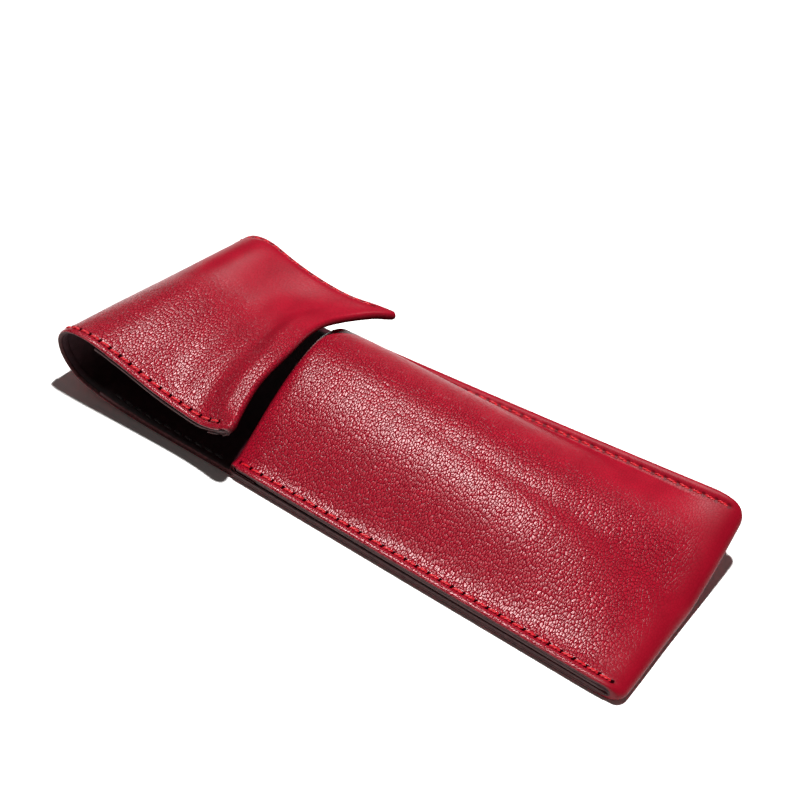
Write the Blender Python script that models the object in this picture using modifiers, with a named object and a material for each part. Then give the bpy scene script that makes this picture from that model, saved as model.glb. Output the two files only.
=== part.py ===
"""Slim soft leather glasses case: a long sewn pouch with a fold-over flap hood.

Frame: +X runs from the mouth line (x = 0) to the closed end, -X to the fold of
the flap.  Y runs across the case, from the near long edge (-Y) to the far one
(+Y).  z = 0 is the surface the back of the case lies on; the front panel faces
up.  Dimensions are in millimetres and MM turns them into metres.

Surfaces are grids of points: rows follow the leather round the case and
columns run near to far.  `across` is a share of the width, 0 near and 1 far;
`along` is a share of the strip's length, 0 at the mouth line and 1 at the
free edge of the flap.
"""
import math

import bmesh
import bpy
import numpy as np

MM = 0.001

# ---------------------------------------------------------------- dimensions
T_OUTER = 1.1            # outer leather
T_LINING = 0.9           # lining
GAP = 0.3                # clearance kept between touching sheets
STACK = 2 * T_OUTER + 2 * T_LINING + 3 * GAP   # sewn edge, four sheets deep
FOLD_R = STACK / 2       # fold at the closed end

POUCH_L = 112.5          # mouth line to the foot of the closed end's fold
PANEL_L = POUCH_L - FOLD_R
END_SKEW = 0.4           # the far corner of the closed end stands this much further out
END_ROUND = 2.0          # extra length taken up by rounding the fold
CORNER_R = 3.0           # rounded corners in plan

Y_NEAR = -27.5           # near long edge
Y_FAR = 26.0             # far long edge, a little closer because it is lifted
Y_MIDDLE = -0.6          # middle line of the strip
WIDTH = Y_FAR - Y_NEAR
NEAR_IN = 1.0            # near edge drawn in at the mouth line
NEAR_FLARE = 1.6         # near edge moves out by this from mouth to closed end
FAR_TAPER = 0.8          # far edge moves in by this from mouth to closed end

SEAM_IN = 2.0            # stitch line to cut edge
THREAD_R = 0.25
THREAD_UP = GAP + THREAD_R + 0.05   # thread's centre line above the leather

# how far the far edge of the back is lifted off the table
FAR_LIFT_MOUTH = 2.2
FAR_LIFT_END = 13.6
LIFT_POWER = 1.05        # growth of the lift along the pouch
FLAT_SHARE = 0.56        # share of the back's width that lies flat
RISE_POWER = 1.25        # growth of the lift across the rest

# (x, height) of the front panel's crown above the sewn edges
CROWN = [(0, 13.6), (15, 13.8), (45, 12.8), (75, 10.6),
         (90, 8.0), (100, 5.4), (107, 2.6), (PANEL_L, 1.0)]
CROWN_MARGIN = 0.055     # flat sewn margin, share of the width
CROWN_PASSES = 30        # smoothing passes over the crown's heights
# powers that shape the crown's near and far flanks: (at the mouth, growth)
NEAR_FLANK = (1.2, 0.25)
FAR_FLANK = (0.58, 0.42)
FLANK_SPAN = (0, 90)     # x range of that growth

# (x, z) side profiles of the strip that leaves the mouth line along the table,
# turns over the fold and comes back as the flap, on the leather's outer face
NEAR_PROFILE = [
    (0, 0), (-20, 0), (-34, 0.6), (-44, 3.2), (-50.5, 6.2), (-54.0, 11.5), (-54.2, 17.5),
    (-51, 22), (-44, 23.2), (-33, 20.5), (-22, 17.4), (-9, 15.4), (-3.5, 16.4), (1.5, 19.8)]
MIDDLE_PROFILE = [
    (0, 0), (-20, 0), (-38, 0.2), (-46, 1.4), (-51, 5), (-51.6, 11), (-48.5, 16.8),
    (-43, 22), (-36, 24.8), (-28, 24.3), (-18, 22.7), (-8, 22.4), (-1, 23.8), (4.5, 27.2)]
FAR_PROFILE = [
    (0, 2), (-20, 0.9), (-36, 0.2), (-45, 0.4), (-50, 4), (-47.5, 9.5), (-42, 14.8),
    (-37.2, 20.8), (-32.5, 25.0), (-26.5, 25.9), (-18.8, 23.6), (-9.5, 22.3), (-1, 22.3),
    (12.8, 24.4)]
STRIP_L = 123.0          # length of the strip from the mouth line to the free edge

# the strip's sideways moves, and the spans along it over which they come in
NEAR_IN_SPAN = (0.24, 0.40)      # NEAR_IN fades out
NEAR_OUT, NEAR_OUT_SPAN = 0.6, (0.85, 1)
MIDDLE_SHIFT, MIDDLE_SPAN = 1.0, (0.6, 1)
FAR_IN, FAR_IN_SPAN = 1.6, (0.55, 1)
TABLE_SPAN = (0.12, 0.30)        # the strip stops following the shape of the back

# the flap's free edge: shares of the width, x and z
EDGE_ACROSS = [0, 0.12, 0.25, 0.5, 0.72, 0.86, 1.0]
EDGE_X = [1.5, 0.1, -0.9, -0.4, -0.1, 3.9, 14.2]
EDGE_Z = [19.8, 20.6, 22.6, 24.8, 23.7, 21.4, 22.0]
EDGE_FAR_OUT = 1.5       # its far end moves out by this
EDGE_SPAN = (0.64, 1.0)

# the far side of the flap swells up, and its very edge curls down and in
CURL_START = 0.925       # share of the width
CURL_DROP, CURL_IN = 3.4, 0.5
CURL_SPAN = (0.60, 0.74)
CURL_FADE, CURL_FADE_SPAN = 0.7, (0.88, 1)
SWELL_ACROSS = (0.60, 0.93)
SWELL_FADE, SWELL_FADE_SPAN = 0.35, (0.9, 1)

# the soft roll just before the free edge and the rise up to it: height, then
# distance of the top from the edge and half-width
ROLL, ROLL_AT, ROLL_W = 2.9, 5.5, 4.2
FILL, FILL_AT, FILL_W = 1.1, 14.5, 5.5
ROLL_DECAY = 3.0         # length over which the roll is cancelled at the edge
ROLL_NEAR = (-0.02, 0.14)        # widthwise span where the roll comes in
ROLL_FAR_FADE, ROLL_FAR = 0.85, (0.6, 0.85)

# shares of the strip's length where its rigid lengths meet the bends
POUCH_END, SPINE_START, SPINE_END, FLAP_START = 0.345, 0.445, 0.515, 0.620
CUT = 0.0020             # half clearance at each cut, share of the strip's length
FLAP_CORNER_POWER = 10   # keeps the corner rounding close to the free edge

# columns of every sheet, close together at both edges
EDGE_COLUMNS = [0.0, 0.008, 0.022, CROWN_MARGIN]
COLUMNS = (EDGE_COLUMNS
           + [CROWN_MARGIN + 0.101 * i for i in range(1, 6)]
           + [0.65 + 0.0825 * i for i in range(4)]
           + [1 - column for column in reversed(EDGE_COLUMNS)])

# rows of the pouch: a dense set is rounded at the closed end, then some are kept
ROW_STEP = 0.42
PANEL_ROWS = int(round(PANEL_L / ROW_STEP)) + 1
FOLD_ROWS = 13
ROUND_FRONT_X = 88       # rounding begins here on the front panel
ROUND_BACK_X = 99        # and ends here on the back
ROUND_PASSES = 55
FRONT_X = [0, 6, 14, 24, 34, 44, 54, 64, 74, 82, 90, 97, 103, 107]
FOLD_PICK = [-2, 1, 3, 5, 6, 7, 9, 11, 14]     # rows counted from the fold's first
BACK_X = [107, 97, 86, 74, 60, 46, 32, 18, 6]


# ------------------------------------------------------------ curve helpers
def smooth(start, end, value):
    """Eased step from 0 at start to 1 at end."""
    u = np.clip((value - start) / (end - start), 0, 1)
    return u * u * (3 - 2 * u)


def even_curve(points, count=400, per_span=24):
    """Centripetal Catmull-Rom curve through the points, evenly spaced by length."""
    knots = np.array(points, float)
    knots = np.vstack([2 * knots[0] - knots[1], knots, 2 * knots[-1] - knots[-2]])
    u = np.arange(per_span)[:, None] / per_span
    pieces = []
    for a, b, c, d in zip(knots, knots[1:], knots[2:], knots[3:]):
        k1, k2, k3 = (np.linalg.norm(q) ** 0.5 for q in (b - a, c - b, d - c))
        leave = ((b - a) / k1 - (c - a) / (k1 + k2) + (c - b) / k2) * k2
        arrive = ((c - b) / k2 - (d - b) / (k2 + k3) + (d - c) / k3) * k2
        pieces.append((2 * u ** 3 - 3 * u * u + 1) * b + (u ** 3 - 2 * u * u + u) * leave
                      + (-2 * u ** 3 + 3 * u * u) * c + (u ** 3 - u * u) * arrive)
    curve = np.vstack(pieces + [knots[-2]])
    run = np.r_[0, np.cumsum(np.linalg.norm(np.diff(curve, axis=0), axis=1))]
    at = np.linspace(0, run[-1], count + 1)
    return np.stack([np.interp(at, run, column) for column in curve.T], 1)


def on_curve(curve, along):
    """x and z of the evenly spaced curve at a share of its length."""
    place = np.clip(along, 0, 1) * (len(curve) - 1)
    k = np.minimum(place.astype(int), len(curve) - 2)
    u = (place - k)[..., None]
    point = curve[k] * (1 - u) + curve[k + 1] * u
    return point[..., 0], point[..., 1]


def parabola(near, middle, far, across):
    """Parabola through near at 0, middle at 0.5 and far at 1."""
    return (near * 2 * (across - 0.5) * (across - 1) + middle * 4 * across * (1 - across)
            + far * 2 * across * (across - 0.5))


def natural_cubic(stations, values, at):
    """Natural cubic spline through (stations, values), read at `at`."""
    stations, values = np.array(stations, float), np.array(values, float)
    h, n = np.diff(stations), len(stations)
    matrix, right = np.eye(n), np.zeros(n)
    for i in range(1, n - 1):
        matrix[i, i - 1:i + 2] = h[i - 1], 2 * (h[i - 1] + h[i]), h[i]
        right[i] = 6 * ((values[i + 1] - values[i]) / h[i]
                        - (values[i] - values[i - 1]) / h[i - 1])
    bend = np.linalg.solve(matrix, right)
    k = np.clip(np.searchsorted(stations, at) - 1, 0, n - 2)
    u, w = at - stations[k], stations[k + 1] - at
    return ((bend[k] * w ** 3 + bend[k + 1] * u ** 3) / (6 * h[k])
            + (values[k] / h[k] - bend[k] * h[k] / 6) * w
            + (values[k + 1] / h[k] - bend[k + 1] * h[k] / 6) * u)


def blurred(rows):
    """Each inner row averaged with its neighbours; the two ends stay."""
    result = rows.copy()
    result[1:-1] = (rows[:-2] + 2 * rows[1:-1] + rows[2:]) / 4
    return result


def offset_grid(rows, distance):
    """The grid moved outwards by distance (inwards if negative), square to its facets."""
    normals = np.zeros_like(rows)
    total = np.zeros(rows.shape[:2])
    facets = np.zeros(rows.shape[:2])
    quad = np.cross(rows[1:, 1:] - rows[:-1, :-1], rows[:-1, 1:] - rows[1:, :-1])
    quad /= np.maximum(np.linalg.norm(quad, axis=2, keepdims=True), 1e-9)
    halves = (slice(None, -1), slice(1, None))
    corners = [(i, j) for i in halves for j in halves]
    for corner in corners:
        normals[corner] += quad
    normals /= np.linalg.norm(normals, axis=2, keepdims=True)
    for corner in corners:
        total[corner] += np.sum(normals[corner] * quad, axis=2)
        facets[corner] += 1
    return rows + normals * (distance / (total / facets))[..., None]


# ----------------------------------------------------- hinge and flap surface
PROFILES = [even_curve(p) for p in (NEAR_PROFILE, MIDDLE_PROFILE, FAR_PROFILE)]
END_XS, END_ZS = np.transpose([profile[-1] for profile in PROFILES])


def rise(across):
    """Share of the far edge's lift reached across the width."""
    return np.maximum(0.0, (across - FLAT_SHARE) / (1 - FLAT_SHARE)) ** RISE_POWER


def edge_roll(along, across):
    """Height of the soft roll before the flap's free edge."""
    distance = (1 - along) * STRIP_L
    height = ROLL * (np.exp(-((distance - ROLL_AT) / ROLL_W) ** 2)
                     - np.exp(-(ROLL_AT / ROLL_W) ** 2) * np.exp(-distance / ROLL_DECAY))
    height = height + FILL * np.exp(-((distance - FILL_AT) / FILL_W) ** 2)
    return height * smooth(*ROLL_NEAR, across) * (1 - ROLL_FAR_FADE * smooth(*ROLL_FAR, across))


def strip(along, across):
    """Outer face of the strip."""
    (near_x, near_z), (middle_x, middle_z), (far_x, far_z) = (
        on_curve(profile, along) for profile in PROFILES)
    near_y = (Y_NEAR + NEAR_IN * (1 - smooth(*NEAR_IN_SPAN, along))
              - NEAR_OUT * smooth(*NEAR_OUT_SPAN, along))
    x = parabola(near_x, middle_x, far_x, across)
    y = parabola(near_y, Y_MIDDLE - MIDDLE_SHIFT * smooth(*MIDDLE_SPAN, along),
                 Y_FAR - FAR_IN * smooth(*FAR_IN_SPAN, along), across)
    flat = 1 - smooth(*TABLE_SPAN, along)
    z = (flat * (near_z + (far_z - near_z) * rise(across))
         + (1 - flat) * parabola(near_z, middle_z, far_z, across))

    # bring the end of the strip onto the free edge
    end = smooth(*EDGE_SPAN, along)
    x = x + end * (natural_cubic(EDGE_ACROSS, EDGE_X, across) - parabola(*END_XS, across))
    y = y + end * parabola(0, 0, EDGE_FAR_OUT, across)
    z = z + end * (natural_cubic(EDGE_ACROSS, EDGE_Z, across) - parabola(*END_ZS, across))

    # swell and curl of the far side
    folded = smooth(*CURL_SPAN, along)
    curl = (np.clip((across - CURL_START) / (1 - CURL_START), 0, 1) ** 2
            * (1 - CURL_FADE * smooth(*CURL_FADE_SPAN, along)))
    swell = smooth(*SWELL_ACROSS, across) * (1 - SWELL_FADE * smooth(*SWELL_FADE_SPAN, along))
    y = y - CURL_IN * folded * curl
    z = z + CURL_DROP * folded * (swell - curl) + edge_roll(along, across)
    return np.stack([x, y, np.maximum(z, 0.0)], -1)


def inset(across):
    """How far the rounded corner pulls an end back."""
    corner = CORNER_R - np.minimum(np.minimum(across, 1 - across) * WIDTH, CORNER_R)
    return CORNER_R - np.sqrt(CORNER_R ** 2 - corner ** 2)


def strip_grid(start, end, steps, columns=COLUMNS, round_corners=False):
    across = np.array(columns)
    along = np.linspace(start, end, steps + 1)[:, None]
    if round_corners:
        weight = smooth(FLAP_START, 1.0, along) ** FLAP_CORNER_POWER
        along = along - inset(across) / STRIP_L * weight
    return strip(along, across)


# -------------------------------------------------------------- pouch surface
CROWN_X = np.linspace(-2, 116, 237)
CROWN_H = np.interp(CROWN_X, *np.array(CROWN).T)
for _ in range(CROWN_PASSES):
    CROWN_H = blurred(CROWN_H)


def back_face(x, across):
    """Outer face of the back panel."""
    share = x / POUCH_L
    near_y = Y_NEAR + NEAR_IN - NEAR_FLARE * share
    y = near_y + (Y_FAR - FAR_TAPER * share - near_y) * across
    lift = FAR_LIFT_MOUTH + (FAR_LIFT_END - FAR_LIFT_MOUTH) * share ** LIFT_POWER
    return np.stack([x, y, lift * rise(across)], -1)


def back_slope(x, across):
    """Slope of the back across its width."""
    step = 1e-3
    run = (back_face(x, np.minimum(across + step, 1.0))
           - back_face(x, np.maximum(across - step, 0.0)))
    return run[..., 2] / run[..., 1]


def crown(x, across):
    """Height of the front panel above the sewn stack."""
    u = np.clip((across - CROWN_MARGIN) / (1 - 2 * CROWN_MARGIN), 0, 1)
    grown = smooth(*FLANK_SPAN, x)
    near, far = (start + growth * grown for start, growth in (NEAR_FLANK, FAR_FLANK))
    top = near / (near + far)
    return np.interp(x, CROWN_X, CROWN_H) * (u / top) ** near * ((1 - u) / (1 - top)) ** far


def front_face(x, across):
    """Outer face of the front panel, the sewn stack measured square to the back."""
    face = back_face(x, across)
    face[..., 2] += STACK * np.sqrt(1 + back_slope(x, across) ** 2) + crown(x, across)
    return face


def pouch_rows(columns):
    """Dense rows round the pouch: front panel, fold, back panel, closed end rounded."""
    across = np.array(columns)
    fold_x = POUCH_L + END_ROUND + END_SKEW * across - inset(across) - FOLD_R
    x = np.linspace(0, PANEL_L, PANEL_ROWS)[:, None] * (fold_x / PANEL_L)
    turn = np.linspace(0, math.pi, FOLD_ROWS + 2)[1:-1, None, None]
    low, top = back_face(fold_x, across), front_face(fold_x, across)
    half = (top - low) / 2
    fold = low + half + half * np.cos(turn) + np.array([FOLD_R, 0, 0]) * np.sin(turn)
    rows = np.concatenate([front_face(x, across), fold, back_face(x[::-1], across)])
    rounded = slice(int(ROUND_FRONT_X / ROW_STEP),
                    PANEL_ROWS + FOLD_ROWS + int((PANEL_L - ROUND_BACK_X) / ROW_STEP))
    for _ in range(ROUND_PASSES):
        rows[rounded] = blurred(rows)[rounded]
    return rows


def panel_row(distance):
    """Index of the row this far along a panel."""
    return np.round(np.array(distance) / PANEL_L * (PANEL_ROWS - 1)).astype(int)


# -------------------------------------------------------------- scene set-up
for item in list(bpy.data.objects):
    bpy.data.objects.remove(item, do_unlink=True)

CASE = bpy.data.collections.new("soft_glasses_case")
bpy.context.scene.collection.children.link(CASE)

# finishes
OUTER = dict(colour=(0.40, 0.010, 0.028), roughness=0.42)
LINING = dict(colour=(0.018, 0.010, 0.012), roughness=0.85)
THREAD = dict(colour=(0.55, 0.012, 0.02), roughness=0.55)


def material(name, colour, roughness):
    mat = bpy.data.materials.new(name)
    mat.use_nodes = True
    bsdf = mat.node_tree.nodes["Principled BSDF"]
    bsdf.inputs["Base Color"].default_value = (*colour, 1)
    bsdf.inputs["Roughness"].default_value = roughness
    bsdf.inputs["Metallic"].default_value = 0.0
    return mat


def add_object(name, data, finish):
    data.materials.append(material(name + "_mat", **finish))
    obj = bpy.data.objects.new(name, data)
    CASE.objects.link(obj)
    return obj


def sheet(name, rows, thickness=T_OUTER, finish=OUTER):
    """A leather sheet: an open surface lofted through the rows, thickened inwards."""
    bm = bmesh.new()
    grid = [[bm.verts.new(point) for point in row] for row in (rows * MM).tolist()]
    for row, following in zip(grid, grid[1:]):
        for i in range(len(row) - 1):
            bm.faces.new((row[i], following[i], following[i + 1], row[i + 1]))
    mesh = bpy.data.meshes.new(name)
    bm.to_mesh(mesh)
    bm.free()
    solid = add_object(name, mesh, finish).modifiers.new("thickness", "SOLIDIFY")
    solid.thickness = thickness * MM
    solid.offset = -1.0
    solid.use_even_offset = True
    solid.use_rim = True
    mesh.shade_smooth()


def lining(name, outer_rows, kept):
    """A lining sheet just inside the outer leather, cut to the kept rows."""
    rows = offset_grid(outer_rows, -(T_OUTER + GAP))[kept]
    sheet(name, rows, T_LINING, LINING)


def thread(name, rows):
    """A thread with filled ends, over the middle column of three."""
    points = offset_grid(rows, THREAD_UP)[:, 1]
    curve = bpy.data.curves.new(name, "CURVE")
    curve.dimensions = "3D"
    curve.bevel_depth = THREAD_R * MM
    curve.bevel_resolution = 1
    curve.use_fill_caps = True
    line = curve.splines.new("POLY")
    line.points.add(len(points) - 1)
    for target, point in zip(line.points, (points * MM).tolist()):
        target.co = (*point, 1)
    add_object(name, curve, THREAD)


# ------------------------------------------------------------------ the pouch
# one outer sheet: front panel from the mouth, fold at the closed end, back
# panel, and the tongue of the back that runs on to the foot of the flap's fold
dense = pouch_rows(COLUMNS)
front = dense[panel_row(FRONT_X)]
fold = dense[PANEL_ROWS + np.array(FOLD_PICK)]
back_panel = dense[PANEL_ROWS + FOLD_ROWS + panel_row(PANEL_L - np.array(BACK_X))]
back = np.concatenate([back_panel, strip_grid(0.0, POUCH_END - CUT, 7)])
sheet("pouch_outer", np.concatenate([front, fold, back]))
lining("front_lining", front, slice(None, -1))
lining("back_lining", back, slice(1, None))

# ---------------------------------------------------- hinge strip and the flap
for name, start, end, steps in (("hinge_lower_bend", POUCH_END, SPINE_START, 5),
                                ("hinge_spine", SPINE_START, SPINE_END, 4),
                                ("hinge_upper_bend", SPINE_END, FLAP_START, 6)):
    sheet(name, strip_grid(start + CUT, end - CUT, steps))

flap = strip_grid(FLAP_START + CUT, 1.0, 17, round_corners=True)
sheet("flap_outer", flap)
lining("flap_lining", flap, slice(1, -1))

# ------------------------------------------------------------------ the seams
SEAM = SEAM_IN / WIDTH
for side, seam in (("near", SEAM), ("far", 1 - SEAM)):
    around = [seam - 0.005, seam, seam + 0.005]
    thread("pouch_thread_" + side, pouch_rows(around)[panel_row(np.linspace(3.0, 107.5, 27))])
    thread("flap_thread_" + side, strip_grid(FLAP_START + 0.01, 0.975, 20, around))
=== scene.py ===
"""A soft red leather pouch, its flap open, sewn along both long sides.

One long strip of leather makes the outside. Its back panel lies on the table (z = 0) from the
mouth (x = 0) to the closed end (+x), where it folds up and returns as the front panel. At the
mouth it runs on towards -x as a tongue, loops up and comes back over itself as the flap.
The near cut edge is at -y, the far one at +y. Shapes are in millimetres, the stage in metres.

Every sheet carries a chart in millimetres: u is the run along the strip (0 at the back
panel's mouth, rising round the closed end, falling along the tongue and flap) and v is the
distance from the near cut edge.
"""
import math

import bpy
import numpy as np
from mathutils import Matrix, Vector


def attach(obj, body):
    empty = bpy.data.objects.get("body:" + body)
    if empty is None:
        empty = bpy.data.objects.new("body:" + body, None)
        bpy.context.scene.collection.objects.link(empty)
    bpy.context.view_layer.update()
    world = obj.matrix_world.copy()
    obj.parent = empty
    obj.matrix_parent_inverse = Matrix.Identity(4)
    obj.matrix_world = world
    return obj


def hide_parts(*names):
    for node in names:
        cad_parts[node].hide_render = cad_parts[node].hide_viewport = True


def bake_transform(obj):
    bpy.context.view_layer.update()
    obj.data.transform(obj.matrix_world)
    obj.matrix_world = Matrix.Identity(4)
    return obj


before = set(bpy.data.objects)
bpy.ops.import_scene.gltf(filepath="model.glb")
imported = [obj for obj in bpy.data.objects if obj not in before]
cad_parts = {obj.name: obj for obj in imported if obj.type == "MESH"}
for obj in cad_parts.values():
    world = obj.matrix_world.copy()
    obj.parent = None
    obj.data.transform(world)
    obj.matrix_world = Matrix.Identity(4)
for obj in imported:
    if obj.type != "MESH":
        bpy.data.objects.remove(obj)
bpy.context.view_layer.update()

MM = 0.001
SCENE = bpy.context.scene
RNG = np.random.RandomState(7)

# ------------------------------------------------------------ driving sizes
POUCH_L, END_SKEW, END_ROUND = 112.5, 0.4, 2.0
Y_NEAR, Y_FAR, Y_MIDDLE = -27.5, 26.0, -0.6
WIDTH = Y_FAR - Y_NEAR
NEAR_STEP = 1.0                      # the near edge stands in by this much at the mouth
T_OUTER, T_TURNED, T_HEM = 1.1, 0.5, 0.42    # leather: full, at a turned edge, its return
STACK, CORNER_R, MOUTH_CORNER_R = 4.9, 3.0, 0.9
FOLD_R, FOLD_RUN = STACK / 2, 8.0    # closed end: radius, and its length in the chart
NOSE_R, NOSE_RUN = 1.2, 3.8          # turned edges: radius, and length in the chart
HEM = 7.5
HEM_STACK = 1.95                     # outer face to lining, over a turned hem
MOUTH_S = POUCH_L * 2 + FOLD_RUN     # chart position of the front panel's mouth
STRIP_S = 123.0                      # tongue, loop and flap in the chart
STEP = 0.42
FAR_LIFT_MOUTH, FAR_LIFT_END, LIFT_POWER = 2.2, 13.6, 1.05
FLAT_SHARE, RISE_POWER = 0.56, 1.25
PITCH, SEAM_W, HOLE_W = 3.3, 2.0, 2.05
SEWN_L, SEAM_STOP = 108.5, 109.5     # x where the pressed seam and the stitches end
MARGIN_W = 2.9                       # width of the sewn margin
CROWN_MARGIN = 0.055
ROLL, FILL = 2.9, 1.1                # swell before the flap's free edge, and behind it
FAR_SWELL = 3.4                      # rise of the flap along its far side

# share of the strip's length where its parts meet
POUCH_END, SPINE_START, SPINE_END, FLAP_START = 0.345, 0.445, 0.515, 0.620

# the front panel's swell: x, height
CROWN = [(0, 13.6), (15, 13.8), (45, 12.8), (75, 10.6), (90, 8.0), (100, 5.4), (107, 2.6),
         (110.05, 1.0)]
# the strip's side profiles from the mouth to the free edge: x, z
NEAR_PROFILE = [(0, 0), (-20, 0), (-34, 0.6), (-44, 3.2), (-50.5, 6.2), (-54.0, 11.5),
                (-54.2, 17.5), (-51, 22), (-44, 23.2), (-33, 20.5), (-22, 17.4), (-9, 15.4),
                (-3.5, 16.4), (1.5, 19.8)]
MIDDLE_PROFILE = [(0, 0), (-20, 0), (-38, 0.2), (-46, 1.4), (-51, 5), (-51.6, 11),
                  (-48.5, 16.8), (-43, 22), (-36, 24.8), (-28, 24.3), (-18, 22.7), (-8, 22.4),
                  (-1, 23.8), (4.5, 27.2)]
FAR_PROFILE = [(0, 2), (-20, 0.9), (-36, 0.2), (-45, 0.4), (-50, 4), (-47.5, 9.5), (-42, 14.8),
               (-37.2, 20.8), (-32.5, 25.0), (-26.5, 25.9), (-18.8, 23.6), (-9.5, 22.3),
               (-1, 22.3), (12.8, 24.4)]
# the flap's free edge: share across the width, x, z
EDGE_ACROSS, EDGE_X, EDGE_Z = np.array([
    (0, 1.5, 19.8), (0.12, 0.1, 20.6), (0.25, -0.9, 22.6), (0.5, -0.4, 24.8),
    (0.72, -0.1, 23.7), (0.86, 3.9, 21.4), (1.0, 14.2, 22.0)]).T


# -------------------------------------------------------------------- curves
def smooth(low, high, value):
    ratio = np.clip((np.asarray(value, float) - low) / (high - low), 0, 1)
    return ratio * ratio * (3 - 2 * ratio)


def averaged(rows):
    """The inner rows, each averaged with its neighbours."""
    return (rows[:-2] + 2 * rows[1:-1] + rows[2:]) / 4


def unit(vectors):
    return vectors / np.maximum(np.linalg.norm(vectors, axis=-1, keepdims=True), 1e-12)


def even_curve(points, count=800, substeps=24):
    """Centripetal Catmull-Rom curve through the points, evenly spaced."""
    p = np.array(points, float)
    p = np.vstack([2 * p[0] - p[1], p, 2 * p[-1] - p[-2]])
    out = []
    for i in range(1, len(p) - 2):
        a, b, c, d = p[i - 1:i + 3]
        k1, k2, k3 = (max(float(np.linalg.norm(q)), 1e-6) ** 0.5 for q in (b - a, c - b, d - c))
        m1 = ((b - a) / k1 - (c - a) / (k1 + k2) + (c - b) / k2) * k2
        m2 = ((c - b) / k2 - (d - b) / (k2 + k3) + (d - c) / k3) * k2
        for j in range(substeps):
            u = j / substeps
            out.append((2 * u ** 3 - 3 * u * u + 1) * b + (u ** 3 - 2 * u * u + u) * m1
                       + (-2 * u ** 3 + 3 * u * u) * c + (u ** 3 - u * u) * m2)
    out.append(p[-2])
    out = np.array(out)
    run = np.r_[0, np.cumsum(np.linalg.norm(np.diff(out, axis=0), axis=1))]
    at = np.linspace(0, run[-1], count + 1)
    return np.stack([np.interp(at, run, out[:, i]) for i in range(2)], 1)


def quadratic(near, middle, far, across):
    return (near * 2 * (across - 0.5) * (across - 1) + middle * 4 * across * (1 - across)
            + far * 2 * across * (across - 0.5))


def spline(knots, values, at):
    """Natural cubic through (knots, values), read at the given places."""
    h, n = np.diff(knots), len(knots)
    a, b = np.eye(n), np.zeros(n)
    for i in range(1, n - 1):
        a[i, i - 1:i + 2] = h[i - 1], 2 * (h[i - 1] + h[i]), h[i]
        b[i] = 6 * ((values[i + 1] - values[i]) / h[i] - (values[i] - values[i - 1]) / h[i - 1])
    m = np.linalg.solve(a, b)
    k = np.clip(np.searchsorted(knots, at) - 1, 0, n - 2)
    u, w = at - knots[k], knots[k + 1] - at
    return ((m[k] * w ** 3 + m[k + 1] * u ** 3) / (6 * h[k])
            + (values[k] / h[k] - m[k] * h[k] / 6) * w
            + (values[k + 1] / h[k] - m[k + 1] * h[k] / 6) * u)


def on_profile(curve, along):
    """The profile at a share of its length, held at both ends."""
    n = len(curve) - 1
    place = np.clip(along, 0, 1) * n
    k = np.minimum(place.astype(int), n - 1)
    u = (place - k)[..., None]
    return curve[k] * (1 - u) + curve[k + 1] * u


# ------------------------------------------------------------------ surfaces
NEAR, MIDDLE, FAR = (even_curve(p) for p in (NEAR_PROFILE, MIDDLE_PROFILE, FAR_PROFILE))

CROWN_X = np.linspace(-2, 116, 237)
CROWN_H = np.interp(CROWN_X, *np.array(CROWN, float).T)
for _ in range(30):
    CROWN_H[1:-1] = averaged(CROWN_H)


def rise(across):
    """Lift of the far side above the flat near part, from 0 to 1."""
    return np.maximum(0.0, (across - FLAT_SHARE) / (1 - FLAT_SHARE)) ** RISE_POWER


def edge_roll(along):
    """A soft roll just before the free edge, with a fuller swell behind it."""
    centre, spread = 5.5, 4.2
    d = (1 - along) * STRIP_S
    at_edge = np.exp(-(centre / spread) ** 2) * np.exp(-d / 3.0)
    roll = ROLL * (np.exp(-((d - centre) / spread) ** 2) - at_edge)
    return roll + FILL * np.exp(-((d - 14.5) / 5.5) ** 2)


def strip(along, across):
    """Tongue, loop and flap at shares along and across the strip."""
    near, middle, far = (on_profile(c, along) for c in (NEAR, MIDDLE, FAR))
    x, z = (quadratic(near[..., i], middle[..., i], far[..., i], across) for i in (0, 1))
    near_y = Y_NEAR + NEAR_STEP * (1 - smooth(0.24, 0.40, along)) - 0.6 * smooth(0.85, 1, along)
    y = quadratic(near_y, Y_MIDDLE - 1.0 * smooth(0.6, 1, along),
                  Y_FAR - 1.6 * smooth(0.55, 1, along), across)
    # the tongue lies flat, lifted at the far side like the back panel
    flat = 1 - smooth(0.12, 0.30, along)
    z = flat * (near[..., 1] + (far[..., 1] - near[..., 1]) * rise(across)) + (1 - flat) * z
    # the flap is drawn over to the measured free edge
    on_flap, end = smooth(0.60, 0.74, along), smooth(0.64, 1.0, along)
    plain_x, plain_z = (quadratic(NEAR[-1, i], MIDDLE[-1, i], FAR[-1, i], across)
                        for i in (0, 1))
    x = x + end * (spline(EDGE_ACROSS, EDGE_X, across) - plain_x)
    y = y + end * quadratic(0, 0, 1.5, across)
    z = z + end * (spline(EDGE_ACROSS, EDGE_Z, across) - plain_z)
    # its far side swells, then curls down at the cut edge
    curl = np.clip((across - 0.925) / 0.075, 0, 1) ** 2 * (1 - 0.7 * smooth(0.88, 1, along))
    swell = smooth(0.60, 0.93, across) * (1 - 0.35 * smooth(0.9, 1, along))
    y = y - 0.5 * on_flap * curl
    z = z + on_flap * FAR_SWELL * (swell - curl)
    z = z + edge_roll(along) * smooth(-0.02, 0.14, across) * (1 - 0.85 * smooth(0.6, 0.85, across))
    return np.stack([x, y, np.maximum(z, 0.0)], -1)


def inset(across, radius=CORNER_R):
    """How far a rounded corner draws the end in."""
    d = np.minimum(across, 1 - across) * WIDTH
    drop = radius - np.sqrt(np.maximum(radius ** 2 - (radius - np.minimum(d, radius)) ** 2, 0.0))
    return np.where(d >= radius, 0.0, drop)


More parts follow.
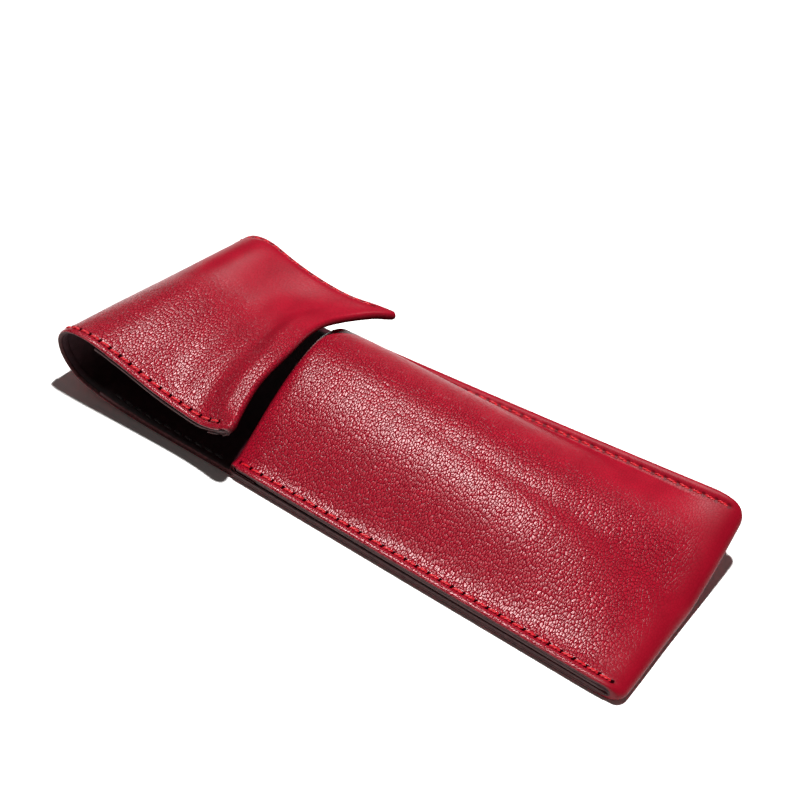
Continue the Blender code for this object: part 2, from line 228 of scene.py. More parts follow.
def back_face(x, across):
    share = np.maximum(x, 0.0) / POUCH_L
    near_y = Y_NEAR + NEAR_STEP - 1.6 * share
    y = near_y + (Y_FAR - 0.8 * share - near_y) * across
    lift = FAR_LIFT_MOUTH + (FAR_LIFT_END - FAR_LIFT_MOUTH) * share ** LIFT_POWER
    return np.stack([x, y, lift * rise(across)], -1)


def crown(x, across):
    u = np.clip((across - CROWN_MARGIN) / (1 - 2 * CROWN_MARGIN), 0, 1)
    to_end = smooth(0, 90, x)
    near_power, far_power = 1.2 + 0.25 * to_end, 0.58 + 0.42 * to_end
    top = near_power / (near_power + far_power)
    return (np.interp(x, CROWN_X, CROWN_H) * (u / top) ** near_power
            * ((1 - u) / (1 - top)) ** far_power)


def slope_y(x, across):
    e = 1e-3
    a, b = back_face(x, np.maximum(across - e, 0.0)), back_face(x, np.minimum(across + e, 1.0))
    return (b[..., 2] - a[..., 2]) / (b[..., 1] - a[..., 1])


def front_face(x, across):
    p = back_face(x, across)
    p[..., 2] += STACK * np.sqrt(1 + slope_y(x, across) ** 2) + crown(x, across)
    return p


def grid_normals(grid, cyclic=False):
    """Unit normals of a grid of points; cyclic closes its second direction."""
    if cyclic:
        side = np.roll(grid, -1, axis=1) - np.roll(grid, 1, axis=1)
    else:
        side = np.gradient(grid, axis=1)
    return unit(np.cross(np.gradient(grid, axis=0), side))


def upward_normals(grid, row):
    """Normals of a grid, turned so that they point up in the middle of the given row."""
    normals = grid_normals(grid)
    return -normals if normals[row, 30, 2] < 0 else normals


# --------------------------------------------- the outer strip, one long grid
# distances across the strip, close together at the cut edges
W_COLS = [0, .3, .5, .7, .95, 1.2, 1.45, 1.7, 1.9, 2.1, 2.35, 2.6, 2.9, 3.3, 3.8, 4.5, 5.3, 6.2]
W_COLS = np.array(W_COLS + list(np.linspace(7.2, WIDTH - 7.2, 38))
                  + [WIDTH - w for w in reversed(W_COLS)])
T = W_COLS / WIDTH
EDGE = np.minimum(W_COLS, WIDTH - W_COLS)        # distance from the nearer cut edge


def steps(start, stop):
    return np.linspace(start, stop, max(2, int(round(abs(stop - start) / STEP)) + 1))


def column(distance):
    return int(np.argmin(abs(W_COLS - distance)))


NOSE_ANGLES = np.linspace(0, math.pi, 13)[1:-1]
FOLD_ANGLES = np.linspace(0, math.pi, 15)[1:-1]
END_X = POUCH_L + END_ROUND + END_SKEW * T - inset(T) - FOLD_R
X_SCALE = END_X / (POUCH_L - FOLD_R)


def nose(edge, normals, outward, angles):
    """The half round of a turned edge."""
    turn = angles[:, None, None]
    return edge - normals * NOSE_R + NOSE_R * (normals * np.cos(turn) + outward * np.sin(turn))


def front_bands():
    """Hem, turned mouth edge and front panel, in order towards the closed end."""
    pull = inset(T, MOUTH_CORNER_R)
    x = steps(NOSE_R, POUCH_L - FOLD_R)
    share = (1 - (x - NOSE_R) / (POUCH_L - FOLD_R - NOSE_R))[:, None]
    panel = front_face(x[:, None] * X_SCALE + pull * share ** 12, T)
    normals = upward_normals(panel, 5)
    hem_x = steps(HEM, NOSE_R)
    hem_share = (1 - (hem_x - NOSE_R) / 110)[:, None]
    over = front_face(hem_x[:, None] * X_SCALE + pull * hem_share ** 12, T)
    over_normals = grid_normals(over)
    over_normals *= np.sign(over_normals[..., 2:3])
    angles = NOSE_ANGLES[::-1]
    mouth = nose(panel[0], normals[0], -unit(panel[1] - panel[0]), angles)
    thick = T_TURNED + (T_OUTER - T_TURNED) * smooth(NOSE_R, 9, x)
    return [(over - over_normals * 2 * NOSE_R, MOUTH_S + NOSE_RUN + hem_x, T_HEM, 0),
            (mouth, MOUTH_S + NOSE_RUN * angles / math.pi, T_TURNED, 0),
            (panel, MOUTH_S - x, thick, (x > 2.0) & (x < SEWN_L))]


def closed_end_band():
    low, top = back_face(END_X, T), front_face(END_X, T)
    half = (top - low) / 2
    turn = FOLD_ANGLES[:, None, None]
    bend = low + half + half * np.cos(turn) + np.array([1.0, 0, 0]) * (FOLD_R * np.sin(turn))
    return bend, POUCH_L + FOLD_RUN / 2 - FOLD_ANGLES / math.pi * FOLD_RUN, T_OUTER, 0


def back_band():
    x = steps(POUCH_L - FOLD_R, 0)[:-1]
    return back_face(x[:, None] * X_SCALE, T), x, T_OUTER, x < SEWN_L


ALONG = steps(0, STRIP_S) / STRIP_S
TO_EDGE = (1 - ALONG) * STRIP_S                  # distance from the flap's free edge
pull = inset(T) / STRIP_S
STRIP = strip(ALONG[:, None] - pull * smooth(FLAP_START, 1.0, ALONG)[:, None] ** 10, T)
for _ in range(12):                              # take out the profile's small kinks
    STRIP[1:-1] = averaged(STRIP)
STRIP[..., 2] = np.maximum(STRIP[..., 2], 0)
STRIP_N = upward_normals(STRIP, -30)


def strip_bands():
    """Tongue to flap, its turned free edge and the hem behind it."""
    run = ALONG * STRIP_S
    edge = nose(STRIP[-1], STRIP_N[-1], unit(STRIP[-1] - STRIP[-2]), NOSE_ANGLES)
    hem = np.where(TO_EDGE <= HEM)[0][::-1]
    return [(STRIP, -run, T_OUTER - 0.55 * smooth(0.93, 1.0, ALONG), run < STRIP_S - 2.6),
            (edge, -STRIP_S - NOSE_RUN * NOSE_ANGLES / math.pi, T_TURNED, 0),
            (STRIP[hem] - STRIP_N[hem] * 2 * NOSE_R, -STRIP_S - NOSE_RUN - TO_EDGE[hem],
             T_HEM, 0)]


# each band: points, chart run, thickness, whether it is sewn
BANDS = front_bands() + [closed_end_band(), back_band()] + strip_bands()
COUNTS = [len(band[0]) for band in BANDS]
# first row of the front, the closed end, the back, the strip and the strip's turned edge
FRONT_ROW, END_ROW, BACK_ROW, STRIP_ROW, STRIP_STOP = np.cumsum(COUNTS)[1:6]
FOLD_ROW = END_ROW + len(FOLD_ANGLES) // 2
PROBE_ROW = FRONT_ROW + 20                       # a front row, used to settle which way is out

SOFT = np.concatenate([band[0] for band in BANDS])
CHART = np.concatenate([band[1] for band in BANDS])
THICK, SEWN = (np.concatenate([band[i] * np.ones(len(band[0])) for band in BANDS])
               for i in (2, 3))
THICK = THICK + 0.95 * np.exp(-((np.arange(len(THICK)) - FOLD_ROW) / 9.0) ** 4)  # fold closes

# rows about the closed end are rounded together
hold = ((CHART > 99) & (CHART < POUCH_L * 2 - 80)).astype(float)[1:-1, None, None]
for _ in range(55):
    SOFT[1:-1] += (averaged(SOFT) - SOFT[1:-1]) * hold
SOFT_N = upward_normals(SOFT, PROBE_ROW)


def relief():
    """Height of the sewn margin, stitch dimples, drooping edges and soft unevenness."""
    dimple = 0.5 + 0.5 * np.cos(2 * math.pi * ((CHART % PITCH) / PITCH))
    press = (-0.20 * np.exp(-((EDGE - SEAM_W) / 0.42) ** 2)[None, :]
             * (0.55 + 0.45 * dimple)[:, None])
    rib = 0.10 * np.exp(-((EDGE - 1.0) / 0.5) ** 2) + 0.05 * np.exp(-((EDGE - 3.1) / 0.8) ** 2)
    droop_w = 0.95
    near_cut = ((droop_w - EDGE) / droop_w).clip(0, 1)
    droop = -0.42 * (1 - np.sqrt(np.clip(1 - near_cut ** 2, 0, 1)))
    sewn = np.convolve(SEWN, np.ones(9) / 9, mode="same")[:, None]
    slow = np.zeros(SOFT.shape[:2])
    for _ in range(26):
        ax, ay = RNG.uniform(-0.16, 0.16, 2)
        wave = CHART[:, None] * ax * 1.3 + W_COLS[None, :] * ay * 1.6 + RNG.uniform(0, 7)
        slow += np.sin(wave) * RNG.uniform(0.3, 1)
    slow *= 0.022 * smooth(1.5, 8, EDGE)
    return (press + rib) * sewn + droop * 0.75 + slow


OUT = SOFT + SOFT_N * relief()[..., None]
OUT[..., 2] = np.maximum(OUT[..., 2], 0.0)
OUT_N = upward_normals(OUT, PROBE_ROW)


def upright(normals):
    """Pouch normals kept in line along the margins, so that the cut edges stand flush."""
    normals = normals.copy()
    near, far = column(MARGIN_W), column(WIDTH - MARGIN_W)
    for j in list(range(near)) + list(range(far + 1, len(W_COLS))):
        w = float(smooth(0, MARGIN_W, EDGE[j]))
        ref = near if j < near else far
        pouch = normals[:STRIP_ROW]
        pouch[:, j] = pouch[:, j] * w + pouch[:, ref] * (1 - w)
    return unit(normals)


# ------------------------------------------------- sheets with rounded edges
# a closed section runs: outer face, far edge, inner face, near edge
M = len(W_COLS) - 2
K = 2 * M + 12
EDGE_COLS = [.15, .05, 0, 0, .05, .15]
RING_W = np.concatenate([W_COLS[1:-1], [WIDTH - w for w in EDGE_COLS],
                         W_COLS[-2:0:-1], EDGE_COLS])
KIND = np.array([0] * (M + 2) + [1] * 4 + [2] * M + [1] * 4 + [0] * 2)  # outer, cut edge, inner


def ring_section(face, normals, shift, thick, radius):
    """Closed sections of a sheet lying shift below the face."""
    thick, shift = ((v * np.ones(len(face)))[:, None, None] for v in (thick, shift))
    radius = np.minimum(radius, thick * 0.48)
    upper, lower = face - normals * shift, face - normals * (shift + thick)
    near, far = (slice(0, 1), slice(1, 2)), (slice(-1, None), slice(-2, -1))
    angles = np.radians([30, 60, 90])

    def rim(points, side, inward, turn):
        edge, inner = side
        return [points[:, edge] * math.sin(a) + points[:, inner] * (1 - math.sin(a))
                + inward * normals[:, edge] * radius * (1 - math.cos(a)) for a in turn]

    return np.concatenate(
        [upper[:, 1:-1]] + rim(upper, far, -1, angles) + rim(lower, far, 1, angles[::-1])
        + [lower[:, -2:0:-1]] + rim(lower, near, 1, angles) + rim(upper, near, -1, angles[::-1]),
        1)


def ring_normals(ring, normals, row):
    """Normals of a ringed sheet, turned to agree with its outer face."""
    out = grid_normals(ring, cyclic=True)
    return -out if out[row, 30] @ normals[row, 31] < 0 else out


def make_mesh(name, verts, faces, materials, face_kinds, surface=None):
    """A smooth object; surface holds its chart, normals and sewn values."""
    mesh = bpy.data.meshes.new(name)
    mesh.from_pydata((verts * MM).tolist(), [], faces)
    for material in materials:
        mesh.materials.append(material)
    mesh.polygons.foreach_set("material_index", np.asarray(face_kinds, np.int32))
    mesh.polygons.foreach_set("use_smooth", np.ones(len(mesh.polygons), bool))
    if surface:
        chart, normals, sewn = surface
        layer = mesh.uv_layers.new(name="chart")
        loops = np.zeros(len(mesh.loops), np.int32)
        mesh.loops.foreach_get("vertex_index", loops)
        layer.data.foreach_set("uv", np.asarray(chart, np.float32)[loops].ravel())
        attribute = mesh.attributes.new("sew", "FLOAT", "POINT")
        attribute.data.foreach_set("value", np.asarray(sewn, np.float32))
    mesh.update()
    if surface:
        mesh.normals_split_custom_set_from_vertices(normals.tolist())
    obj = bpy.data.objects.new(name, mesh)
    SCENE.collection.objects.link(obj)
    return obj


def sheet(name, ring, normals, run, sewn, materials):
    """One length of a ringed sheet, both ends closed."""
    n = len(ring)
    idx = np.arange(n * K).reshape(n, K)
    a, b = idx[:-1], idx[1:]
    quads = np.stack([a, b, np.roll(b, -1, 1), np.roll(a, -1, 1)], -1).reshape(-1, 4)
    kinds = np.tile(np.where(np.roll(KIND, -1) == 1, 1, KIND), n - 1)
    # each end is closed by quads between the outer half of the ring and the inner
    outer = np.concatenate([np.arange(K - 3, K), np.arange(M + 3)])
    inner = np.arange(M + 3, K - 3)[::-1]
    caps = []
    for row, turn in ((0, -1), (n - 1, 1)):
        o, p = idx[row][outer], idx[row][inner]
        caps.append(np.stack([o[:-1], p[:-1], p[1:], o[1:]], -1)[:, ::turn])
    faces = np.concatenate([quads] + caps)
    kinds = np.concatenate([kinds, np.ones(len(faces) - len(quads), int)])
    chart = np.stack([np.repeat(run, K), np.tile(RING_W, n)], -1)
    return make_mesh(name, ring.reshape(-1, 3), faces.tolist(), materials, kinds,
                     (chart, normals.reshape(-1, 3), np.repeat(sewn, K)))


# ---------------------------------------------------------------- materials
SOCKETS = {"colour": "Base Color", "roughness": "Roughness",
           "specular": "Specular IOR Level", "normal": "Normal"}


class Nodes:
    """Small helper for building a shader graph."""

    def __init__(self, name):
        self.material = bpy.data.materials.new(name)
        self.material.use_nodes = True
        self.tree = self.material.node_tree

    def new(self, kind, **settings):
        node = self.tree.nodes.new("ShaderNode" + kind)
        for key, value in settings.items():
            setattr(node, key, value)
        return node

    def put(self, socket, value):
        if isinstance(value, bpy.types.NodeSocket):
            self.tree.links.new(value, socket)
        else:
            socket.default_value = value

    def fill(self, node, values):
        for key, value in values.items():
            self.put(node.inputs[key], value)
        return node.outputs

    def finish(self, **values):
        bsdf = self.tree.nodes["Principled BSDF"]
        self.fill(bsdf, {SOCKETS[key]: value for key, value in values.items()})
        return self.material

    def chart(self):
        return self.new("UVMap", uv_map="chart").outputs[0]

    def place(self):
        return self.new("TexCoord").outputs["Object"]

    def math(self, op, a, b=0.0):
        return self.fill(self.new("Math", operation=op), {0: a, 1: b, 2: 0.0})[0]

    def add(self, a, b):
        return self.math("ADD", a, b)

    def sub(self, a, b):
        return self.math("SUBTRACT", a, b)

    def mul(self, a, b):
        return self.math("MULTIPLY", a, b)

    def most(self, a, b):
        return self.math("MAXIMUM", a, b)

    def rest(self, a):
        return self.sub(1.0, a)

    def vmath(self, op, a, b=(0, 0, 0)):
        return self.fill(self.new("VectorMath", operation=op), {0: a, 1: b})[0]

    def ramp(self, value, span, to=(0.0, 1.0)):
        node = self.new("MapRange", interpolation_type="SMOOTHSTEP")
        return self.fill(node, dict(enumerate((value, *span, *to))))[0]

    def mix(self, factor, a, b):
        """Mix two colours, which are the node's inputs 6 and 7."""
        a, b = (c if isinstance(c, bpy.types.NodeSocket) else (*c, 1) for c in (a, b))
        return self.fill(self.new("Mix", data_type="RGBA"), {0: factor, 6: a, 7: b})[2]

    def noise(self, vector, scale, detail=2.0, rough=0.5, dims="2D"):
        """Outputs of a noise node: 0 is its value, 1 its colour."""
        return self.fill(self.new("TexNoise", noise_dimensions=dims), {
            "Vector": vector, "Scale": scale, "Detail": detail, "Roughness": rough})

    def voronoi(self, vector, scale, feature):
        node = self.new("TexVoronoi", voronoi_dimensions="2D", feature=feature)
        return self.fill(node, {"Vector": vector, "Scale": scale, "Randomness": 1.0})["Distance"]

    def bump(self, height, distance, strength):
        return self.fill(self.new("Bump"), {
            "Height": height, "Distance": distance, "Strength": strength})[0]


def leather_material():
    g = Nodes("red_grain_leather")
    chart = g.chart()
    # warped, slightly stretched cells make the pebbled grain
    warp = g.noise(chart, scale=0.45)[1]
    centred = g.vmath("SUBTRACT", warp, (0.5, 0.5, 0.5))
    scaled = g.new("VectorMath", operation="SCALE")
    warp = g.fill(scaled, {0: centred, 1: (0, 0, 0), "Scale": 1.0})[0]
    cells = g.vmath("MULTIPLY", g.vmath("ADD", chart, warp), (1.42, 0.88, 1.0))
    edge = g.voronoi(cells, scale=1.2, feature="DISTANCE_TO_EDGE")
    core = g.voronoi(cells, scale=1.2, feature="F1")
    dome = g.rest(g.mul(g.mul(core, core), 1.35))
    crease = g.ramp(edge, span=(0.0, 0.16))
    shade = g.ramp(edge, span=(0.01, 0.17))
    grit = g.noise(chart, scale=2.6)[0]
    swell = g.noise(chart, scale=0.16)[0]
    coarse = g.noise(chart, scale=0.75)[0]
    weights = {"dome": 0.34, "crease": 0.34, "grit": 0.06, "coarse": 0.24}   # shares of height
    height = g.add(g.mul(dome, weights["dome"]), g.mul(crease, weights["crease"]))
    height = g.add(height, g.mul(grit, weights["grit"]))
    height = g.add(height, g.mul(coarse, weights["coarse"]))
    u, v = g.fill(g.new("SeparateXYZ"), {0: chart})[:2]
    to_cut = g.math("MINIMUM", v, g.sub(WIDTH, v))
    calm = g.ramp(to_cut, span=(0.3, 2.6), to=(0.55, 1.0))
    # the grain lies flatter on the far half of the flap, the far side of the front
    # and about the closed end
    on_flap = g.ramp(u, span=(-66.0, -58.0), to=(1.0, 0.0))
    far_flap = g.mul(on_flap, g.ramp(v, span=(24.0, 40.0), to=(0.0, 0.85)))
    far_front = g.mul(g.ramp(u, span=(116.0, 122.0)), g.ramp(v, span=(36.0, 46.0), to=(0.0, 0.75)))
    closed = g.mul(g.ramp(u, span=(100.0, 106.0)), g.ramp(u, span=(121.0, 134.0), to=(1.0, 0.0)))
    still = g.mul(g.rest(g.add(far_flap, far_front)), g.rest(g.mul(closed, 0.95)))
    strength = g.mul(g.mul(calm, still), g.ramp(swell, span=(0.3, 0.7), to=(0.8, 1.0)))
    normal = g.bump(height, distance=0.00020, strength=strength)
    # stitch holes, whose painted shade is set below, and the pressed seam line
    pitches = g.add(g.math("DIVIDE", u, PITCH), 0.5)
    du = g.mul(g.sub(g.math("FRACT", pitches), 0.5), PITCH)
    dv = g.sub(to_cut, HOLE_W)
    reach = g.math("SQRT", g.add(g.mul(du, du), g.mul(dv, dv)))
    sew = g.new("Attribute", attribute_name="sew").outputs["Fac"]
    hole = g.mul(g.ramp(reach, span=(0.42, 0.70), to=(1.0, 0.0)), sew)
    hole = g.mul(hole, g.ramp(v, span=(40.0, 44.0), to=(1.0, 0.45)))
    off_seam = g.math("ABSOLUTE", g.sub(to_cut, SEAM_W))
    seam = g.mul(g.ramp(off_seam, span=(0.15, 0.65), to=(0.55, 0.0)), sew)
    # colour: red, with painted shade in the grain creases, about the closed end, in the stitch
    # holes and on the turned edges; darker along the pressed seam line
    colour = g.mix(g.ramp(swell, span=(0.25, 0.75)),
                   (0.225, 0.0030, 0.0125), (0.265, 0.0038, 0.0150))
    # painted shade: the grain creases are darkened, most where the grain is not calmed
    crease_shade = g.mul(g.rest(shade), g.mul(g.add(g.mul(still, 0.7), 0.2), 1.0))
    colour = g.mix(crease_shade, colour, (0.075, 0.0008, 0.0045))
    # painted shade: the leather about the closed end is darkened, where it turns away from the
    # light
    colour = g.mix(g.mul(closed, 0.55), colour, (0.13, 0.0012, 0.006))
    # mask of the turned mouth edge and the flap's turned free edge with their hems, used for
    # painted shade and held-back shine
    rim = g.most(g.ramp(u, span=(MOUTH_S - 0.4, MOUTH_S + 1.6)),
                 g.ramp(u, span=(-STRIP_S - 2.6, -STRIP_S - 0.4), to=(1.0, 0.0)))
    colour = g.mix(seam, colour, (0.14, 0.001, 0.005))
    # painted shade: near-black in the stitch holes, fainter on the far side
    colour = g.mix(hole, colour, (0.010, 0.0, 0.0008))
    # painted shade: the turned mouth edge and the flap's turned free edge are darkened
    colour = g.mix(g.mul(rim, 0.9), colour, (0.030, 0.0006, 0.0018))
    roughness = g.add(g.ramp(grit, span=(0.3, 0.7), to=(0.25, 0.32)), g.mul(g.rest(still), 0.16))
    # the shine is held back in the painted crease shade, where the grain is calm and on turned
    # edges
    crest = g.mul(g.ramp(u, span=(MOUTH_S - 6.0, MOUTH_S - 2.0)), g.ramp(v, span=(36.0, 42.0)))
    quiet = g.most(g.mul(crease_shade, 0.92), g.mul(rim, 0.95))
    quiet = g.most(quiet, g.mul(g.rest(still), 0.86))
    quiet = g.most(g.most(quiet, crest), hole)
    return g.finish(colour=colour, roughness=roughness,
                    specular=g.mul(g.rest(quiet), 0.5), normal=normal)


def edge_material():
    g = Nodes("painted_leather_edge")
    fleck = g.noise(g.place(), scale=900.0, detail=3.0, rough=0.6, dims="3D")[0]
    colour = g.mix(g.ramp(fleck, span=(0.35, 0.65)),
                   (0.030, 0.0040, 0.0050), (0.056, 0.0105, 0.0115))
    return g.finish(colour=colour, roughness=0.5, specular=0.12,
                    normal=g.bump(fleck, distance=0.0001, strength=0.5))


def lining_material():
    g = Nodes("dark_lining")
    chart = g.chart()
    nap = g.noise(chart, scale=5.0, detail=4.0, rough=0.65)[0]
    patch = g.noise(chart, scale=0.4)[0]
    colour = g.mix(g.ramp(patch, span=(0.3, 0.7)),
                   (0.026, 0.0055, 0.0085), (0.038, 0.0085, 0.0125))
    return g.finish(colour=colour, roughness=0.72, specular=0.3,
                    normal=g.bump(nap, distance=0.00012, strength=0.7))


def thread_material(name, low, high):
    g = Nodes(name)
    fibre = g.noise(g.place(), scale=2500.0, dims="3D")[0]
    return g.finish(colour=g.mix(g.ramp(fibre, span=(0.3, 0.7)), low, high), roughness=0.42,
                    normal=g.bump(fibre, distance=0.00005, strength=0.5))


LEATHER, PAINT, LINING = leather_material(), edge_material(), lining_material()
THREAD = thread_material("red_waxed_thread", low=(0.38, 0.0055, 0.012), high=(0.50, 0.010, 0.020))
BOBBIN = thread_material("dark_bobbin_thread", low=(0.012, 0.004, 0.006), high=(0.02, 0.008, 0.01))

# ------------------------------------------------------------- outer leather
RING = ring_section(OUT, upright(OUT_N), shift=0.0, thick=THICK, radius=0.32)
RING_N = ring_normals(RING, OUT_N, PROBE_ROW)
CUTS = [STRIP_ROW + int(round(share * (len(ALONG) - 1)))
        for share in (POUCH_END, (SPINE_START + SPINE_END) / 2, FLAP_START)]


def leather(name, start, stop):
    rows = slice(start, stop + 1)
    return sheet(name, RING[rows], RING_N[rows], CHART[rows], SEWN[rows],
                 [LEATHER, PAINT, LINING])


pouch_leather = leather("pouch_leather", 0, CUTS[0])
lower_leather = leather("hinge_leather_lower", CUTS[0], CUTS[1])
upper_leather = leather("hinge_leather_upper", CUTS[1], CUTS[2])
flap_leather = leather("flap_leather", CUTS[2], len(OUT) - 1)

# ------------------------------------------------------------------- linings
FRONT_LINING_T, BACK_LINING_T = 1.32, 1.3
LEAST_ROOM, CLEARANCE = 0.18, 0.03
MARGIN_COLUMN = 10


def lining(name, face, normals, run, shift, thick):
    ring = ring_section(face, normals, shift, thick, radius=0.3)
    return sheet(name, ring, ring_normals(ring, normals, len(ring) // 2), run,
                 np.zeros(len(ring)), [LINING, PAINT, LINING])


UPRIGHT_N = upright(SOFT_N)
# room left under each skin at the sewn margin, row by row
up_rows, low_rows = np.arange(FRONT_ROW, FOLD_ROW - 1), np.arange(FOLD_ROW + 2, STRIP_ROW)
up_x, _, up_z = SOFT[up_rows, MARGIN_COLUMN].T
low_x, _, low_z = SOFT[low_rows, MARGIN_COLUMN].T
room_up = (up_z - np.interp(up_x, low_x[::-1], low_z[::-1])) / 2 - T_OUTER
room_low = (np.interp(low_x, up_x, up_z) - low_z) / 2 - T_OUTER

rows = up_rows[room_up > LEAST_ROOM]
fit = np.minimum(FRONT_LINING_T, room_up[room_up > LEAST_ROOM] - CLEARANCE)
skin = np.minimum(THICK, T_OUTER)[rows]
under_hem = HEM_STACK - skin
past_hem = smooth(7.0, 9.5, MOUTH_S - CHART[rows])
front_lining = lining("front_lining_sheet", SOFT[rows], UPRIGHT_N[rows], CHART[rows], skin,
                      under_hem + (fit + T_OUTER - skin - under_hem) * past_hem)

# the back lining runs on over the tongue
BACK_ROWS = np.concatenate([low_rows[room_low > LEAST_ROOM], np.arange(STRIP_ROW, CUTS[0] + 1)])
fit = np.concatenate([room_low[room_low > LEAST_ROOM] - CLEARANCE,
                      np.full(CUTS[0] + 1 - STRIP_ROW, BACK_LINING_T)])
back_lining = lining("back_lining_sheet", SOFT[BACK_ROWS], UPRIGHT_N[BACK_ROWS],
                     CHART[BACK_ROWS] + 300, T_OUTER, np.minimum(BACK_LINING_T, fit))

rows = np.where(ALONG >= 0.645)[0]
skin = THICK[STRIP_ROW + rows]
flap_lining = lining("flap_lining_sheet", STRIP[rows], STRIP_N[rows],
                     CHART[STRIP_ROW + rows] + 600, skin,
                     HEM_STACK - skin + 0.35 * smooth(HEM, HEM + 1.5, TO_EDGE[rows]))

# ------------------------------------------------------------------- threads
# columns of the holes and of a point near the cut edge; a stitch's arch and strand radius
SIDES = {"near": dict(hole=column(HOLE_W), edge=column(0.5), arch=0.60, radius=0.235),
         "far": dict(hole=column(WIDTH - HOLE_W), edge=column(WIDTH - 0.5), arch=0.42,
                     radius=0.19)}
STITCH_U = np.linspace(0, 1, 13)
STRAND_SIDES, TWISTS = 8, 1.35


def stitch(centre, normal, radius, turn):
    """Two strands twisted about the centre line: vertices and faces."""
    u = STITCH_U
    tangent = unit(np.gradient(centre, axis=0))
    side = unit(np.cross(tangent, normal))
    up = np.cross(side, tangent)
    around = np.linspace(0, 2 * math.pi, STRAND_SIDES, endpoint=False)[None, :, None]
    size = radius * (0.86 + 0.14 * np.sin(math.pi * u))
    verts, faces = [], []
    for strand in (0, 1):
        phase = (turn + strand * math.pi + 2 * math.pi * TWISTS * u)[:, None]
        middle = centre + (side * np.cos(phase) + up * np.sin(phase) * 0.8) * 0.15
        ring = side[:, None] * np.cos(around) + up[:, None] * np.sin(around)
        verts.append((middle[:, None] + ring * size[:, None, None]).reshape(-1, 3))
        count = len(u) * STRAND_SIDES
        idx = strand * count + np.arange(count).reshape(len(u), STRAND_SIDES)
        a, b = idx[:-1], idx[1:]
        faces += np.stack([a, b, np.roll(b, -1, 1), np.roll(a, -1, 1)], -1).reshape(-1, 4).tolist()
        faces += [idx[0].tolist(), idx[-1][::-1].tolist()]
    return np.concatenate(verts), faces


def stitches(side, points, normals, run, start, stop):
    """The stitches between two chart positions, each as (middle, vertices, faces)."""
    spec = SIDES[side]
    hole = points[:, spec["hole"]]
    outward = unit(points[:, spec["edge"]] - hole)
    order = np.argsort(run)
    out = []
    for k in range(math.ceil(start / PITCH), math.floor(stop / PITCH)):
        at = (k + 0.10 + 0.80 * STITCH_U) * PITCH
        seat, normal, out_dir = (
            np.stack([np.interp(at, run[order], track[order, i]) for i in range(3)], -1)
            for track in (hole, normals[:, spec["hole"]], outward))
        height = -0.42 + spec["arch"] * np.sin(math.pi * STITCH_U) ** 0.42
        slant = -0.08 + 0.30 * STITCH_U + RNG.uniform(-0.05, 0.05)
        centre = seat + normal * height[:, None] + out_dir * slant[:, None]
        turn = RNG.uniform(0, math.pi)
        out.append(((k + 0.5) * PITCH, *stitch(centre, normal, spec["radius"], turn)))
    return out


def join_stitches(name, outer, inner):
    verts, faces, kinds, n = [], [], [], 0
    for k, (_, points, polygons) in enumerate(outer + inner):
        verts.append(points)
        faces.extend([[i + n for i in polygon] for polygon in polygons])
        kinds.extend([0 if k < len(outer) else 1] * len(polygons))
        n += len(points)
    return make_mesh(name, np.concatenate(verts), faces, [THREAD, BOBBIN], kinds)


threads = {}
front = slice(FRONT_ROW, END_ROW)
under = slice(BACK_ROW, STRIP_STOP)              # back panel and strip, without turned edges
flap = np.where((ALONG >= 0.62) & (ALONG <= 0.93))[0]
low_cut, mid_cut, high_cut = CHART[CUTS]
for side in SIDES:
    on_front = stitches(side, OUT[front], OUT_N[front], CHART[front],
                        MOUTH_S - SEAM_STOP, MOUTH_S - 1.2)
    outer = stitches(side, OUT[under], OUT_N[under], CHART[under], -STRIP_S + 2.0, SEAM_STOP)
    normals = UPRIGHT_N[BACK_ROWS]
    on_tongue = stitches(side, SOFT[BACK_ROWS] - normals * 2.4, -normals, CHART[BACK_ROWS],
                         -POUCH_END * STRIP_S + 0.5, -1.5)
    in_flap = stitches(side, STRIP[flap] - STRIP_N[flap] * 2.3, -STRIP_N[flap],
                       CHART[STRIP_ROW + flap], -0.925 * STRIP_S, -0.63 * STRIP_S)
    for where, part, inner in (
            ("pouch", on_front + [q for q in outer if q[0] > low_cut], on_tongue),
            ("hinge_lower", [q for q in outer if mid_cut < q[0] <= low_cut], []),
            ("hinge_upper", [q for q in outer if high_cut < q[0] <= mid_cut], []),
            ("flap", [q for q in outer if q[0] <= high_cut], in_flap)):
        threads[where, side] = join_stitches(f"stitches_{where}_{side}", part, inner)

# ------------------------------------------------------------ ride; the hinge pieces are only baked in place
BENDS = {   # the pieces each half of the hinge joins, and where it starts and ends, in metres
    "hinge_lower": (("pouch", "hinge_spine"),
                    dict(start=(-0.04913, 0, 0.00125), end=(-0.05158, 0, 0.00800))),
    "hinge_upper": (("hinge_spine", "flap"),
                    dict(start=(-0.04785, 0, 0.01237), end=(-0.04520, 0, 0.02223)))}


def bend(obj, where):
    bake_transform(obj)


for obj in (pouch_leather, front_lining, back_lining):
    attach(obj, "pouch")
for obj in (flap_leather, flap_lining):
    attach(obj, "flap")
bend(lower_leather, "hinge_lower")
bend(upper_leather, "hinge_upper")
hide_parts("pouch_outer")
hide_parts("front_lining")
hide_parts("back_lining")
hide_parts("hinge_lower_bend", "hinge_spine")
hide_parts("hinge_upper_bend")
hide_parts("flap_outer")
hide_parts("flap_lining")
for (where, side), obj in threads.items():
    if where in BENDS:
        bend(obj, where)
    else:
        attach(obj, where)
        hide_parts(f"{where}_thread_{side}")

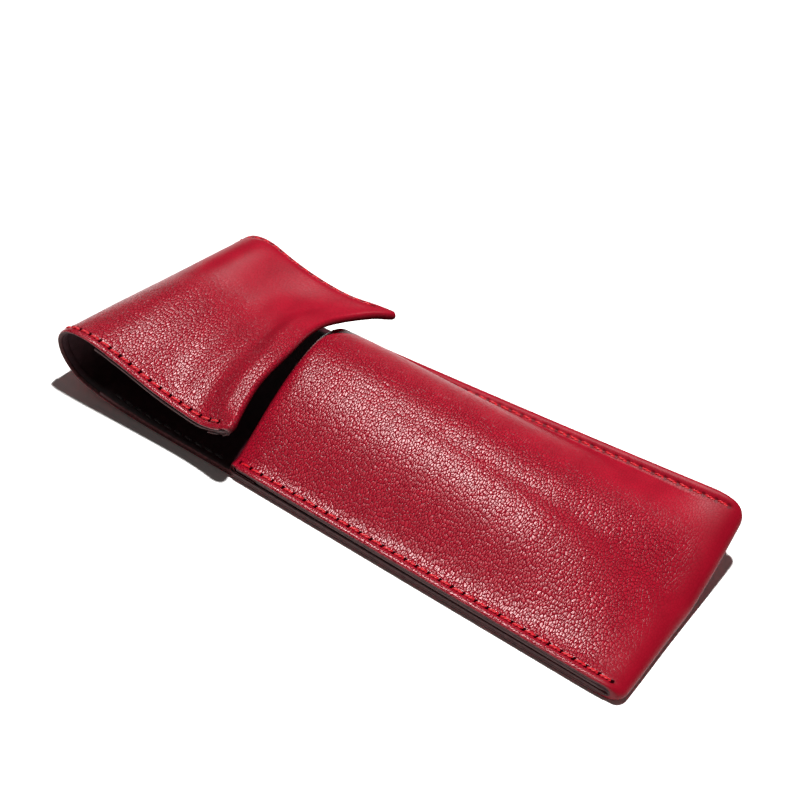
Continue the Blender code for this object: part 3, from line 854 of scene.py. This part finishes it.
# -------------------------------------------------------------------- stage
bpy.ops.mesh.primitive_plane_add(size=6.0, location=(0.03, 0, -0.00015))
floor = bpy.context.object
floor.name = "floor"
floor.data.materials.append(Nodes("white_table").finish(
    colour=(0.86, 0.855, 0.85, 1), roughness=0.9, specular=0.1))

world = bpy.data.worlds.new("soft_room")
SCENE.world = world
world.use_nodes = True
background = world.node_tree.nodes["Background"]
background.inputs["Color"].default_value = (1.0, 0.90, 0.87, 1)
background.inputs["Strength"].default_value = 0.088

AIM = Vector((0.03, 0, 0.01))


def area_light(name, energy, place, size, colour=(1, 1, 1), diffuse=True, glossy=True):
    data = bpy.data.lights.new(name, "AREA")
    data.energy = energy
    data.color = colour
    data.shape = "RECTANGLE"
    data.size, data.size_y = size
    obj = bpy.data.objects.new(name, data)
    SCENE.collection.objects.link(obj)
    obj.location = place
    obj.rotation_euler = (Vector(place) - AIM).to_track_quat("Z", "Y").to_euler()
    obj.visible_diffuse = diffuse
    obj.visible_glossy = glossy
    obj.visible_camera = False


area_light("key", energy=9.0, place=(0.098, 0.048, 0.68), size=(0.026, 0.026),
           colour=(1.0, 0.99, 0.98), glossy=False)
area_light("sheen", energy=3.6, place=(-0.14, -0.02, 0.58), size=(0.20, 0.20), diffuse=False)
area_light("back_sheen", energy=0.22, place=(-0.36, 0.62, 0.36), size=(0.5, 0.2), diffuse=False)

# ------------------------------------------------------------------- camera
TILT = math.radians(47.0)            # below the horizon
HEADING = math.radians(54.087)       # from -x towards +y
CAMERA_AT = (0.2046, -0.2374, 0.3396)
right = Vector((math.sin(HEADING), math.cos(HEADING), 0))
ground = Vector((-math.cos(HEADING), math.sin(HEADING), 0))
forward = ground * math.cos(TILT) + Vector((0, 0, -math.sin(TILT)))
up = ground * math.sin(TILT) + Vector((0, 0, math.cos(TILT)))
camera_data = bpy.data.cameras.new("camera")
camera_data.sensor_width = 36.0
camera_data.lens = 81.27
camera = bpy.data.objects.new("camera", camera_data)
SCENE.collection.objects.link(camera)
axes = zip(right, up, -forward, CAMERA_AT)
camera.matrix_world = Matrix((*axes, (0, 0, 0, 1)))
SCENE.camera = camera
SCENE.view_settings.view_transform = "Standard"
